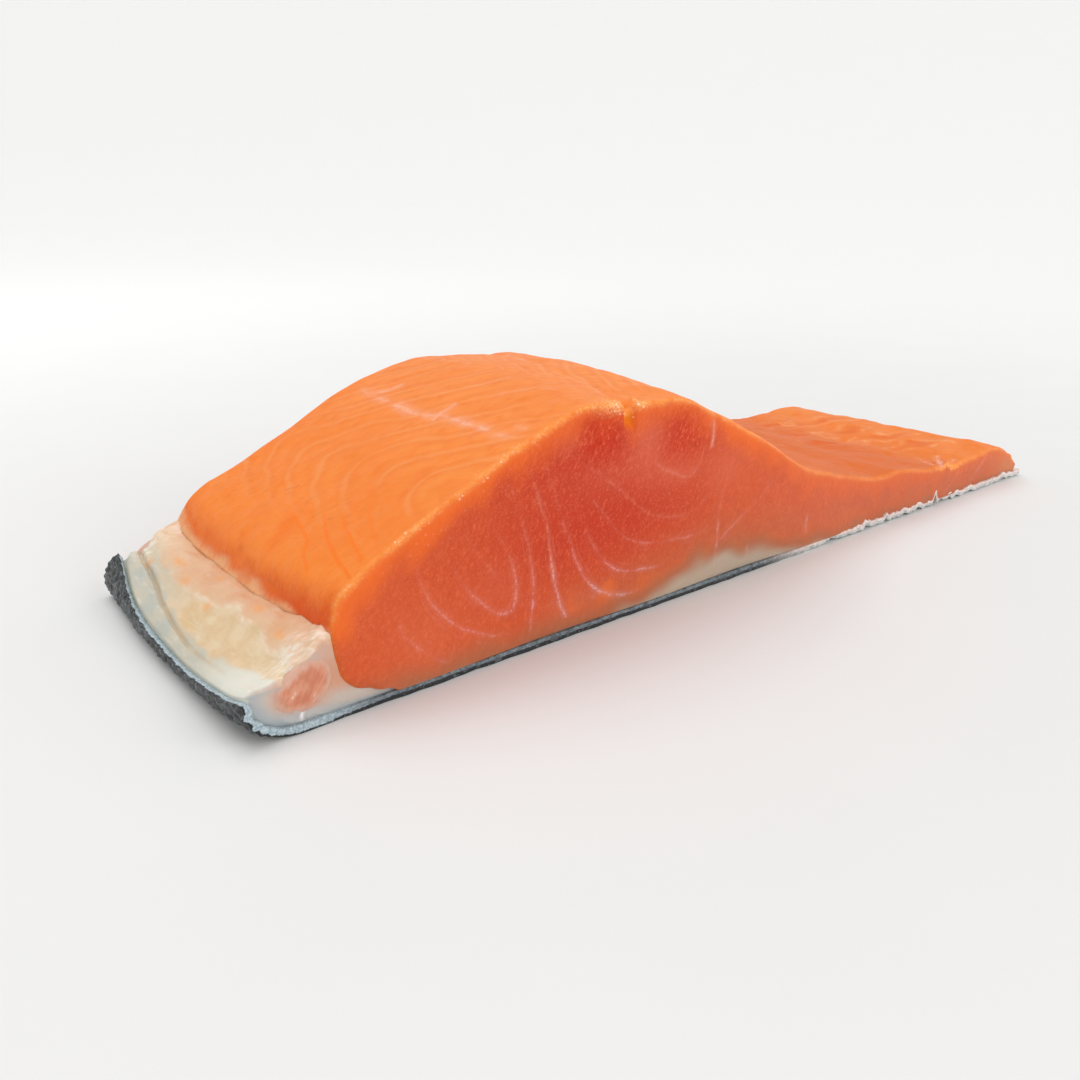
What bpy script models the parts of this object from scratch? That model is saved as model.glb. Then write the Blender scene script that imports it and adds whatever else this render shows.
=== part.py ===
"""Raw salmon fillet: a block cut across one side of a large fish, lying skin side down.

X runs from the back of the fish to its belly, along the front cut. Y runs from the front cut
to the far cut, and Z up. The origin is under the middle of the block, on the surface it lies on.

Sections are worked out in millimetres as (across, height) points: across is measured from the
back edge of the skin, and height from the surface. Depth is measured from the front cut.
"""
import math

import bmesh
import bpy
import numpy as np

MM = 0.001

# Driving dimensions, in millimetres
SPAN = 230.3            # back edge to belly rim
DEPTH = 68.6            # front cut to far cut
SKIN_THICKNESS = 1.4
GAP = 0.3               # clearance between neighbouring solids
EDGE_ROUND = 1.6        # how far the top rolls over into each cut

# The flesh, from the foot of its rounded back end, over the crest, to the belly rim
FLESH_FRONT = [
    (22.8, 2.5), (18.6, 3.4), (16.2, 5.8), (15.0, 9.8), (14.6, 14.4), (15.6, 17.4), (17.6, 20.3),
    (27.1, 25.8), (41.7, 32.9), (53.7, 37.9), (64.3, 41.2), (76.3, 39.9), (88.3, 39.0),
    (96.2, 35.7), (110.3, 29.2), (128.8, 19.2), (148.3, 13.9), (170.3, 11.7), (192.3, 9.2),
    (211.3, 10.5), (220.3, 9.3), (225.6, 5.6), (227.3, 2.5)]
FLESH_FAR = [
    (25.0, 2.5), (21.2, 3.4), (18.9, 5.6), (17.8, 8.6), (17.5, 12.2), (18.6, 15.3), (23.4, 19.0),
    (36.5, 24.8), (48.0, 31.0), (59.5, 36.0), (73.0, 39.2), (88.3, 38.4), (101.3, 37.9),
    (109.5, 35.0), (124.0, 28.4), (139.0, 19.6), (155.0, 14.2), (172.3, 11.6), (192.3, 9.6),
    (211.3, 10.3), (219.3, 9.3), (225.1, 5.6), (227.0, 2.5)]
ROOT = 4                # the point of those lists where the strip of fat meets the flesh
BACK_TOP = 6            # the point where the top of the flesh starts
SWELL = 1.8             # how much higher the hump is half way between the cuts
SWELL_ACROSS = 85.0
SWELL_REACH = 28.0

# Layer of fat between the skin and the flesh
LAYER_THIN = 0.5
LAYER_THICK = 4.6
LAYER_PEAK = 98.0       # where it is thickest
FADE_TO_BACK = 20.0
FADE_TO_BELLY = 28.0
LAYER_END = 227.8

# Skin's curl at its back edge: depth, where it leaves the surface, the corner that
# it bulges towards, and the edge
CURL = [
    (0.0, 9.5, (0.5, 3.6), (0.4, 7.4)),
    (8.5, 6.5, (0.1, 2.4), (0.1, 5.4)),
    (26.0, 4.0, (0.0, 1.5), (0.1, 3.5)),
    (48.0, 4.0, (-0.2, 2.2), (0.8, 5.0)),
    (68.6, 4.8, (0.4, 5.4), (5.2, 8.2))]
CURL_TIGHTNESS = 0.7

# Top of the strip of fat, from the flesh to the skin's edge: depth, then four points
STRIP_TOP = [
    (0.0, (13.2, 13.6), (10.4, 11.4), (7.4, 9.7), (4.4, 9.0)),
    (26.0, (13.0, 12.8), (9.4, 11.2), (6.4, 8.0), (3.9, 5.8)),
    (68.6, (14.8, 12.2), (12.0, 11.8), (9.8, 10.0), (7.8, 8.8))]

# Muscle of the back fin, an oval rod inside the strip of fat
FIN_CENTRE = (10.4, 7.0)
FIN_DRIFT = 1.4         # how much further across it lies at the far cut
FIN_LONG = 4.2
FIN_SHORT = 2.8
FIN_TILT = math.radians(50)
CUTTER_SPARE = 2.0

# How finely the sections are divided
CURL_POINTS = 9
STRIP_EDGES = 2         # in each span of the strip's top
UNDER_POINTS = 28
ROD_SIDES = 20
SPAN_EDGE = 4.5         # target length of an edge along the flesh
DEPTH_EDGE = 6.5        # target length of an edge from cut to cut
SHARP = math.radians(40)


def collection(name):
    """A collection linked to the scene."""
    made = bpy.data.collections.new(name)
    bpy.context.scene.collection.children.link(made)
    return made


def material(name, colour, roughness):
    """A Principled material."""
    made = bpy.data.materials.new(name)
    made.use_nodes = True
    shader = made.node_tree.nodes["Principled BSDF"]
    shader.inputs["Base Color"].default_value = (*colour, 1.0)
    shader.inputs["Roughness"].default_value = roughness
    shader.inputs["Metallic"].default_value = 0.0
    made.diffuse_color = (*colour, 1.0)
    return made


def add_object(name, bm, group, look):
    """A smooth-shaded object made from a bmesh."""
    mesh = bpy.data.meshes.new(name)
    bm.to_mesh(mesh)
    bm.free()
    mesh.materials.append(look)
    mesh.shade_smooth()
    mesh.set_sharp_from_angle(angle=SHARP)
    made = bpy.data.objects.new(name, mesh)
    group.objects.link(made)
    return made


def at_depth(table, depth):
    """The row that a table, whose rows start with a depth, has at the given depth."""
    rows = np.array([np.hstack(row) for row in table], float)
    return np.array([np.interp(depth, rows[:, 0], column) for column in rows[:, 1:].T])


def smooth_line(points, steps):
    """A Catmull-Rom curve through the points, with steps[i] edges in span i."""
    first = 2 * points[0] - points[1]
    last = 2 * points[-1] - points[-2]
    padded = [first, *points, last]
    line = []
    for i, count in enumerate(steps):
        a, b, c, d = padded[i:i + 4]
        for t in np.arange(count) / count:
            curve = 2 * b + (c - a) * t
            curve += (2 * a - 5 * b + 4 * c - d) * t ** 2
            curve += (3 * b - a - 3 * c + d) * t ** 3
            line.append(curve / 2)
    return np.array([*line, points[-1]])


def bezier(a, b, c, d, count):
    """Points on a cubic Bezier curve."""
    t = np.linspace(0, 1, count)[:, None]
    return a * (1 - t) ** 3 + 3 * b * t * (1 - t) ** 2 + 3 * c * t ** 2 * (1 - t) + d * t ** 3


def to_the_right(line, distance):
    """The line moved sideways, to the right of the way it runs."""
    along = np.gradient(line, axis=0)
    along /= np.linalg.norm(along, axis=1)[:, None]
    return line + distance * np.column_stack([along[:, 1], -along[:, 0]])


def layer_top(across):
    """Height of the top of the fat under the flesh."""
    reach = np.where(across < LAYER_PEAK, FADE_TO_BACK, FADE_TO_BELLY)
    hump = np.exp(-((across - LAYER_PEAK) / reach) ** 2)
    return SKIN_THICKNESS + GAP + LAYER_THIN + (LAYER_THICK - LAYER_THIN) * hump


def flesh_steps():
    """How many edges each span of the flesh's outline has."""
    spans = np.diff(np.array(FLESH_FRONT), axis=0)
    edge = np.where(np.arange(len(spans)) < BACK_TOP, SPAN_EDGE / 2, SPAN_EDGE)
    return np.maximum(1, np.round(np.linalg.norm(spans, axis=1) / edge)).astype(int)


def flesh_top(depth):
    """The flesh's outline, without its underside."""
    share = depth / DEPTH
    points = (1 - share) * np.array(FLESH_FRONT) + share * np.array(FLESH_FAR)
    line = smooth_line(points, flesh_steps())
    across, height = line.T.copy()
    swell = SWELL * 4 * share * (1 - share)
    height += swell * np.exp(-((across - SWELL_ACROSS) / SWELL_REACH) ** 2)
    from_cut = min(depth, DEPTH - depth, EDGE_ROUND)
    roll = EDGE_ROUND - math.sqrt(EDGE_ROUND ** 2 - (EDGE_ROUND - from_cut) ** 2)
    back_top = points[BACK_TOP, 0]
    height -= roll * np.clip((across - back_top) / 3, 0, 1) * np.clip((height - 4) / 4, 0, 1)
    return np.column_stack([across, height])


def flesh_outline(depth):
    """Closed section of the flesh."""
    top = flesh_top(depth)
    across = np.linspace(top[-1, 0], top[0, 0], UNDER_POINTS)[1:-1]
    under = np.column_stack([across, layer_top(across) + GAP])
    return np.vstack([top, under])


def curl_line(depth):
    """The skin's outer face, from where it leaves the surface to its back edge."""
    leaves, bulge_across, bulge_height, *edge = at_depth(CURL, depth)
    start = np.array([leaves, 0])
    low = np.array([leaves - CURL_TIGHTNESS * (leaves - bulge_across), 0])
    return bezier(start, low, np.array([bulge_across, bulge_height]), np.array(edge), CURL_POINTS)


def fat_outline(depth):
    """Closed section of the strip of fat along the back and the layer under the flesh."""
    skin_side = to_the_right(curl_line(depth), SKIN_THICKNESS + GAP)
    root_point = flesh_steps()[:ROOT].sum()
    flesh_side = to_the_right(flesh_top(depth), -GAP)[:root_point + 1]
    top_points = [skin_side[-1], *at_depth(STRIP_TOP, depth).reshape(-1, 2)[::-1], flesh_side[-1]]
    top = smooth_line(top_points, [STRIP_EDGES] * (len(top_points) - 1))
    across = np.linspace(flesh_side[0, 0], LAYER_END, UNDER_POINTS)[1:]
    layer = np.column_stack([across, layer_top(across)])
    corner = [(LAYER_END, SKIN_THICKNESS + GAP)]
    return np.vstack([skin_side, top[1:-1], flesh_side[::-1], layer, corner])


def skin_outline(depth):
    """Open section of the skin's outer face, from its back edge to the belly rim."""
    return np.vstack([curl_line(depth)[::-1], [(SPAN, 0)]])


def sheet(outline, depths):
    """A bmesh grid with one row of points on the section at each depth."""
    rows = [outline(depth) for depth in depths]
    columns = len(rows[0])
    bm = bmesh.new()
    bmesh.ops.create_grid(bm, x_segments=columns - 1, y_segments=len(rows) - 1, size=0.5)
    for vertex in bm.verts:
        column = round((vertex.co.x + 0.5) * (columns - 1))
        row = round((vertex.co.y + 0.5) * (len(rows) - 1))
        across, height = rows[row][column]
        vertex.co = ((across - SPAN / 2) * MM, (depths[row] - DEPTH / 2) * MM, height * MM)
    return bm


def block(outline, depths):
    """A bmesh of a closed body: a sheet rolled into a tube, with its ends filled."""
    bm = sheet(lambda depth: np.vstack([outline(depth), outline(depth)[:1]]), depths)
    bmesh.ops.remove_doubles(bm, verts=bm.verts, dist=GAP * MM / 100)
    bmesh.ops.holes_fill(bm, edges=[edge for edge in bm.edges if edge.is_boundary])
    bm.normal_update()
    bmesh.ops.recalc_face_normals(bm, faces=bm.faces)
    return bm


def even_depths():
    """Depths of the sections, evenly spaced from cut to cut."""
    return np.linspace(0, DEPTH, round(DEPTH / DEPTH_EDGE) + 1)


def rounded_depths():
    """The same depths with closer ones where the top rolls over into the cuts."""
    near = EDGE_ROUND * np.array([0.15, 0.45, 1.0])
    return np.sort(np.hstack([even_depths(), near, DEPTH - near]))


def fin_rod(margin, extra_length):
    """A bmesh of the oval rod of fin muscle, larger all round by a margin."""
    bm = bmesh.new()
    length = DEPTH + extra_length
    bmesh.ops.create_cone(
        bm, cap_ends=True, segments=ROD_SIDES, radius1=1, radius2=1, depth=length * MM)
    for vertex in bm.verts:
        long = vertex.co.x * (FIN_LONG + margin)
        short = vertex.co.y * (FIN_SHORT + margin)
        across = FIN_CENTRE[0] + long * math.cos(FIN_TILT) - short * math.sin(FIN_TILT)
        across += FIN_DRIFT * (vertex.co.z / MM / DEPTH + 0.5)
        height = FIN_CENTRE[1] + long * math.sin(FIN_TILT) + short * math.cos(FIN_TILT)
        vertex.co = ((across - SPAN / 2) * MM, vertex.co.z, height * MM)
    bm.normal_update()
    bmesh.ops.recalc_face_normals(bm, faces=bm.faces)
    return bm


def make_flesh(group):
    """The muscle of the side, orange and firm."""
    look = material("flesh", (0.82, 0.17, 0.05), 0.32)
    return add_object("flesh", block(flesh_outline, rounded_depths()), group, look)


def make_fat(group, cutters):
    """The pale fat, with a bore through its thick strip for the fin muscle."""
    look = material("fat", (0.80, 0.68, 0.55), 0.35)
    fat = add_object("fat", block(fat_outline, even_depths()), group, look)
    cutter = add_object("fin_bore", fin_rod(GAP, CUTTER_SPARE), cutters, look)
    cutter.hide_render = True
    cutter.display_type = 'WIRE'
    bore = fat.modifiers.new("fin_bore", 'BOOLEAN')
    bore.operation = 'DIFFERENCE'
    bore.solver = 'EXACT'
    bore.object = cutter
    return fat


def make_fin_muscle(group):
    """The small muscle of the back fin."""
    look = material("fin_muscle", (0.72, 0.26, 0.14), 0.35)
    return add_object("fin_muscle", fin_rod(0, 0), group, look)


def make_skin(group):
    """The skin, flat under the block and curled up along the back."""
    look = material("skin", (0.05, 0.06, 0.07), 0.40)
    skin = add_object("skin", sheet(skin_outline, even_depths()), group, look)
    wall = skin.modifiers.new("thickness", 'SOLIDIFY')
    wall.thickness = SKIN_THICKNESS * MM
    wall.offset = 1
    return skin


def main():
    for old in list(bpy.data.objects):
        bpy.data.objects.remove(old, do_unlink=True)
    fillet = collection("salmon_fillet")
    cutters = collection("cutters")
    make_flesh(fillet)
    make_fat(fillet, cutters)
    make_fin_muscle(fillet)
    make_skin(fillet)


main()
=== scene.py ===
"""Looks of a raw salmon fillet: a block cut across one side of a large fish, skin side down.

Shapes are worked out in millimetres as across, depth and height. Across is measured from the
back edge of the skin towards the belly, depth from the front cut towards the far cut, and
height from the surface that the block lies on.
"""

import math

import bmesh
import bpy
import numpy as np
from mathutils import Matrix, Vector
from mathutils.bvhtree import BVHTree


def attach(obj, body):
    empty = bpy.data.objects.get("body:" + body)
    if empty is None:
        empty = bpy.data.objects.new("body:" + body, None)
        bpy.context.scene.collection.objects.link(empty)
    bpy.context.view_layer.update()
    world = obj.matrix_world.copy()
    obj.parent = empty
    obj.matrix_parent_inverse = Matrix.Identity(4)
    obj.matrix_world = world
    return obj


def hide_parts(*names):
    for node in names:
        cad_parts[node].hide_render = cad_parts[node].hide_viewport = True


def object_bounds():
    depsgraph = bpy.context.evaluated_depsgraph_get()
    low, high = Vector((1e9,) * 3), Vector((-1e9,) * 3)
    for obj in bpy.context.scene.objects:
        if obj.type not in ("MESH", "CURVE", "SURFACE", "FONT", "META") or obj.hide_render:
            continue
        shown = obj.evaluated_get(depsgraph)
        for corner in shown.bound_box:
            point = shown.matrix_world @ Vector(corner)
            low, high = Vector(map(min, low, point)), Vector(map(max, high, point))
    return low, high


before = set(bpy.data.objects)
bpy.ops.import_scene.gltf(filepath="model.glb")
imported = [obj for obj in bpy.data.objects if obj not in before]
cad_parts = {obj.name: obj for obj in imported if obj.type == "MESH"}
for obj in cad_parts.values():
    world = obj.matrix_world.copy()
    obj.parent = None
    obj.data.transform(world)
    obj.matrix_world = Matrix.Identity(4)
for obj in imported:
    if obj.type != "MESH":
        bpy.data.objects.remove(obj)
CAD_LOW, CAD_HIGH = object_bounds()

MM = 0.001
BACK = CAD_LOW.x / MM - 0.1         # the back edge of the skin lies 0.1 mm inside its widest bulge
FRONT = CAD_LOW.y / MM
DEPTH = (CAD_HIGH.y - CAD_LOW.y) / MM
SPAN = CAD_HIGH.x / MM - BACK
SKIN_THICKNESS = 1.4

# Muscle sheets seen on the flesh's top: how far each one reaches from the front, across the block
ARCH = [(6, -36), (12, -20), (15, -9), (18, 0), (22, 18), (26, 36), (30, 46), (34, 53.5),
        (38.5, 57), (42, 53.5), (46, 47), (50, 39.5), (56, 31.5), (62, 25), (66, 20.5),
        (70, 17.5), (73, 18), (77, 27), (82, 38), (90, 50), (100, 60), (120, 76), (150, 96),
        (190, 118), (230, 140)]
ARCH_SPACING = 10.5

# White threads of connective tissue in the cut: how strongly each shows, then (across, height)
# along it. Threads of one set lie well apart, so that each set can share one mark.
CUT_THREADS = [
    [(0.30, [(28.8, 24), (31.3, 16), (35.3, 10.5), (39.3, 7.5), (44.3, 5), (48.3, 4)]),
     (0.5, [(47.5, 31), (49.3, 26), (51.3, 20), (52.6, 10), (51.8, 2)]),
     (0.35, [(60.3, 27), (63.3, 22), (65.3, 17), (68.3, 13), (72.3, 10), (78.3, 8.5), (85, 8.2)]),
     (0.35, [(99.9, 22), (99.7, 13), (99.9, 8), (99.6, 3)]),
     (0.30, [(129.4, 9.4), (129.2, 6.5), (129.6, 4.2)]),
     (0.12, [(148, 6.5), (151, 8.6), (153.5, 10.4)]),
     (0.30, [(202, 2.4), (206, 6), (211.5, 10.2)])],
    [(0.5, [(33.3, 23), (36.3, 19), (39.3, 14.5), (42.3, 11), (44.5, 9.2), (47.2, 8.4),
             (48.6, 9.6), (48.8, 14), (46.8, 20), (42.3, 27)]),
     (0.95, [(51.5, 33), (53.3, 28), (55.3, 22), (56.8, 13), (57.8, 9), (59.3, 5), (60.8, 3)]),
     (0.35, [(60.3, 31), (64.3, 26), (68.3, 21.5), (72.3, 17), (76.3, 14.5), (82.3, 13),
             (92, 12.2), (99.3, 12.6)]),
     (0.7, [(79, 30.5), (82, 27.6), (86.3, 25.6), (90.3, 24.6), (93, 27), (94.5, 31)]),
     (0.30, [(100.5, 9), (104, 11.4), (111, 15.4), (117.5, 20)]),
     (0.15, [(188, 2.4), (192, 5), (196.5, 8.4)])],
    [(0.18, [(38.3, 25), (41.3, 20), (45.8, 15)]),
     (0.18, [(25.5, 14), (27.3, 10), (31.3, 5.4), (35.3, 2.8)]),
     (0.55, [(54.3, 35), (56.3, 30), (59.3, 21), (62.3, 13.5), (65.3, 9), (69.3, 6),
             (73.3, 4.7), (79, 4.6)]),
     (0.35, [(60.5, 32.4), (66.3, 29.5), (72.3, 25), (78.3, 20), (83.3, 18), (88.3, 17),
             (93.3, 18), (98.3, 21), (103.5, 22.6)]),
     (2.4, [(95.2, 38), (96.1, 34.5), (96.3, 31.5), (95.6, 28.5)]),
     (0.30, [(109.6, 6.6), (110.3, 4), (110, 2)])],
]

# Threads on the top as (across, depth): pale membrane along the fine bones, and below zero
# the thin lines of deeper orange on the back slope
TOP_THREADS = [
    [(0.85, [(51.5, 1), (51.2, 8), (51.8, 15), (52, 20), (52.5, 27), (51.9, 33), (52.6, 40),
             (54, 50), (55, 58), (57, 64)]),
     (-0.9, [(19, 0), (19.5, 2.1), (20.7, 7.7), (21.7, 11.3), (23.2, 15.8), (25.2, 20.2),
             (27.5, 25)]),
     (0.30, [(73.6, 2.5), (75, 8), (78, 16), (80, 21)]),
     (0.6, [(86, 43), (89, 50), (90.5, 56), (93, 64)]),
     (0.9, [(183.6, 1.2), (186, 3.4), (189, 6.4), (192, 9.4), (193, 10.6)])],
    [(0.85, [(50.6, 26.6), (52.5, 28), (54.5, 27.4), (56.5, 27.6)]),
     (0.35, [(54, 3), (54.3, 8)]),
     (0.80, [(54.6, 60), (55.6, 55), (57, 52), (60.5, 51)]),
     (0.25, [(62, 8), (66, 5)]),
     (0.9, [(186.2, 0.4), (189, 2), (192, 3.9), (196, 6.6), (197.5, 7.4)]),
     (-0.7, [(17.2, 11), (18.2, 13.4), (19.6, 17.2), (21.2, 19), (22.5, 22.7), (23.8, 28.2),
             (25, 34)]),
     (-0.5, [(25.6, 4), (26.9, 7.7), (29.3, 12.9), (32, 17)])],
    [(0.6, [(54, 42), (56, 36)]),
     (0.22, [(55, 40), (62, 31), (66, 28), (70, 23.5)]),
     (0.22, [(60, 24), (66, 15), (68, 12)]),
     (0.6, [(189.5, 0.2), (192, 1.4), (195, 2.4), (198, 2.8)]),
     (-0.8, [(21.6, 1.5), (22.7, 4.6), (24.4, 10.1), (26.2, 15.4), (28.5, 20)])],
]
SETS = ("a", "b", "c")
NOT_NEAR = 50.0                 # lines further off than this don't count

# The crease along the crest, where the backbone lay, as (depth, across)
CREST = [(0, 73.4), (15, 78), (35, 84), (52, 90), (68.6, 94)]
NOTCH = 74.1                    # across, where the crease is torn open at the front cut

# Skin's curl at its back edge: depth, where it leaves the surface, the corner that
# it bulges towards, and the edge
CURL = [
    (0.0, 9.5, 0.5, 3.6, 0.4, 7.4),
    (8.5, 6.5, 0.1, 2.4, 0.1, 5.4),
    (26.0, 4.0, 0.0, 1.5, 0.1, 3.5),
    (48.0, 4.0, -0.2, 2.2, 0.8, 5.0),
    (68.6, 4.8, 0.4, 5.4, 5.2, 8.2)]
CURL_TIGHTNESS = 0.7


# ---- shapes ----

def smooth_line(points, steps):
    """A smooth line through the points, with that many steps from each to the next."""
    p = np.array(points, float)
    p = np.vstack([2 * p[0] - p[1], p, 2 * p[-1] - p[-2]])
    t = (np.arange(steps) / steps)[:, None]
    spans = [(2 * b + (c - a) * t + (2 * a - 5 * b + 4 * c - d) * t ** 2
              + (3 * b - a - 3 * c + d) * t ** 3) / 2
             for a, b, c, d in zip(p[:-3], p[1:-2], p[2:-1], p[3:])]
    return np.vstack([*spans, p[-2:-1]])


def rise(low, high, value):
    """0 below low, 1 above high, smooth between them; falls if low is above high."""
    t = np.clip((value - low) / (high - low), 0, 1)
    return t * t * (3 - 2 * t)


def hump(value, centre, reach):
    """A smooth hump, 1 high, that falls away on both sides of its centre."""
    return np.exp(-((value - centre) / reach) ** 2)


def spot(x, y, middle_x, middle_y, reach_x, reach_y):
    """A smooth patch, 1 high in its middle."""
    return hump(x, middle_x, reach_x) * hump(y, middle_y, reach_y)


def waves(x, y, length, seed):
    """Smooth uneven waves of about that length, mostly between -1 and 1."""
    rng = np.random.default_rng(seed)
    total = 0
    for _ in range(9):
        turn, phase = rng.uniform(0, 2 * math.pi, 2)
        pitch = 2 * math.pi / (length * rng.uniform(0.7, 1.5))
        total = total + np.sin((x * math.cos(turn) + y * math.sin(turn)) * pitch + phase)
    return total / 3


def over_depth(stations, depths):
    """Rows of numbers that are given at a few depths, smoothly in between."""
    dense = smooth_line(stations, 10)
    columns = [np.interp(depths, dense[:, 0], dense[:, k]) for k in range(1, dense.shape[1])]
    return np.stack(columns, axis=-1)


def at_depth(table, depth):
    """What a table of (depth, value) gives at each depth."""
    return np.interp(depth, *np.array(table).T)


def from_cut(depth):
    """How far a depth is from the nearer cut."""
    return np.minimum(depth, DEPTH - depth)


def packed_surface(node):
    """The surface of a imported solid, to cast rays at."""
    bm = bmesh.new()
    bm.from_mesh(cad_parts[node].data)
    surface = BVHTree.FromBMesh(bm)
    bm.free()
    return surface


def reach_of(surface, start, way):
    """How far the surface is from a point (across, depth, height), along a way across and up."""
    across, depth, height = start
    origin = Vector(((BACK + across) * MM, (FRONT + depth) * MM, height * MM))
    place = surface.ray_cast(origin, Vector((way[0], 0, way[1])))[0]
    return (place - origin).length / MM


def soften(field, times, closed):
    """A field of numbers evened out along its first side, which may be closed."""
    for _ in range(times):
        if closed:
            before, after = np.roll(field, 1, 0), np.roll(field, -1, 0)
        else:
            before = np.concatenate([2 * field[:1] - field[1:2], field[:-1]])
            after = np.concatenate([field[1:], 2 * field[-1:] - field[-2:-1]])
        field = (before + 2 * field + after) / 4
    return field


def spread_out(stops):
    """Places from the first stop to the last, that many steps on from each stop to the next."""
    count = np.cumsum([0] + [steps for _, steps in stops[:-1]])
    return np.interp(np.arange(count[-1] + 1), count, [place for place, _ in stops])


def cut_depths(step, close):
    """Depths of the rows from cut to cut, closer together beside each cut."""
    middle = np.linspace(close[-1], DEPTH - close[-1],
                         round((DEPTH - 2 * close[-1]) / step) + 1)
    return np.hstack([close[:-1], middle, DEPTH - np.array(close[-2::-1])])


def round_corner(inward, depth, radius):
    """Where a point beside a cut's edge goes when that edge is rounded."""
    centre_in = np.maximum(inward, radius)
    centre_depth = np.maximum(depth, radius)
    off_in, off_depth = inward - centre_in, depth - centre_depth
    length = np.maximum(np.hypot(off_in, off_depth), 1e-9)
    share = np.where((inward < radius) & (depth < radius), radius / length, 1)
    return centre_in + off_in * share, centre_depth + off_depth * share


class Block:
    """Rows of points over a closed body: up the front cut, along its depth, down the far cut.

    outline and middle hold (across, height) of each point round the section at each depth.
    Each cut is filled by cap_rows rows, closer together at its edge where spread is over 1.
    """

    def __init__(self, depths, outline, middle, radius, cap_rows, spread):
        last = len(depths) - 1
        shares = (np.arange(cap_rows, 0, -1) / cap_rows) ** spread
        rows = ([(0, s) for s in shares] + [(j, 0.0) for j in range(last + 1)]
                + [(last, s) for s in shares[::-1]])
        index = np.array([j for j, _ in rows])
        share = np.array([s for _, s in rows])[:, None]
        edge = outline[index]
        ray = middle[index] - edge
        length = np.maximum(np.linalg.norm(ray, axis=2), 1e-6)
        inward = share * length
        depth = np.broadcast_to(np.asarray(depths, float)[index][:, None], inward.shape)
        near_in, near_depth = round_corner(inward, from_cut(depth), radius)
        near_in = np.minimum(near_in, length)
        moved = (near_in / length)[:, :, None]
        self.across, self.height = np.moveaxis(edge + ray * moved, 2, 0)
        self.depth = np.where(depth < DEPTH / 2, near_depth, DEPTH - near_depth)
        self.cut = rise(0, 1, near_in / (near_in + near_depth + 1e-9))
        self.inward = near_in
        self.front = self.depth < DEPTH / 2
        self.marks = {}

    def near_cut(self, reach):
        """1 at the cuts, falling to 0 that far in from them."""
        return rise(reach, 0, from_cut(self.depth))

    def sink(self, amount, reach):
        """Moves the cuts into the block by an amount that fades out that far in from them."""
        self.depth = self.depth + amount * self.near_cut(reach) * np.where(self.front, 1, -1)

    def mesh(self, name):
        """The mesh of the block, closed, with its marks as attributes."""
        rows, ring = self.across.shape

        def closed(field):
            field = np.broadcast_to(field, (rows, ring))
            return np.concatenate([field, field[:, :1]], axis=1).ravel()

        bm = bmesh.new()
        bmesh.ops.create_grid(bm, x_segments=ring, y_segments=rows - 1, size=1)
        made = bpy.data.meshes.new(name)
        bm.to_mesh(made)
        bm.free()
        places = [closed(f) for f in (self.across + BACK, self.depth + FRONT, self.height)]
        made.vertices.foreach_set("co", (np.stack(places, axis=1) * MM).ravel())
        for mark, field in self.marks.items():
            layer = made.attributes.new(mark, 'FLOAT', 'POINT')
            layer.data.foreach_set("value", closed(field))
        bm = bmesh.new()
        bm.from_mesh(made)
        bmesh.ops.remove_doubles(bm, verts=bm.verts, dist=1e-6)
        bm.normal_update()
        bmesh.ops.recalc_face_normals(bm, faces=bm.faces)
        bm.to_mesh(made)
        bm.free()
        return made


def add_object(name, data):
    """An object of that name in the scene."""
    made = bpy.data.objects.new(name, data)
    bpy.context.scene.collection.objects.link(made)
    return made


def add_piece(name, block, finish, node):
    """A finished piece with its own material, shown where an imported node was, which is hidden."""
    mesh = block.mesh(name)
    mesh.materials.append(finish)
    mesh.shade_smooth()
    piece = add_object(name, mesh)
    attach(piece, "root")
    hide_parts(node)


def nearest_line(x, y, lines):
    """Signed distance from each point to the nearest line, and how strongly that line shows."""
    points = np.stack([x.ravel(), y.ravel()], axis=1)
    nearest = np.full(len(points), NOT_NEAR)
    second = np.full(len(points), 2 * NOT_NEAR)
    shown = np.zeros(len(points))
    for strength, line in lines:
        path = smooth_line(line, 6)
        start, run = path[:-1], np.diff(path, axis=0)
        gap = points[:, None] - start
        t = np.clip((gap * run).sum(2) / (run ** 2).sum(1), 0, 1)
        gap = gap - t[:, :, None] * run
        far = np.hypot(gap[:, :, 0], gap[:, :, 1])
        k = far.argmin(axis=1)
        row = np.arange(len(points))
        side = np.sign(run[k, 0] * gap[row, k, 1] - run[k, 1] * gap[row, k, 0])
        along = (k + t[row, k]) / len(run)
        here = far[row, k]
        closer = here < np.abs(nearest)
        second = np.where(closer, np.abs(nearest), np.minimum(second, here))
        nearest = np.where(closer, here * np.where(side == 0, 1, side), nearest)
        fade = rise(0, 0.15, along) * rise(0, 0.15, 1 - along)
        shown = np.where(closer, strength * fade, shown)
    shown = shown * rise(0.8, 3.0, second - np.abs(nearest))
    return nearest.reshape(x.shape), shown.reshape(x.shape)


# ---- finishes ----

def paint(red, green, blue):
    """A colour given in 0 to 255 steps on a screen, as the shader's linear colour."""
    steps = [v / 255 for v in (red, green, blue)]
    return (*[v / 12.92 if v <= 0.04045 else ((v + 0.055) / 1.055) ** 2.4 for v in steps], 1.0)


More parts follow.
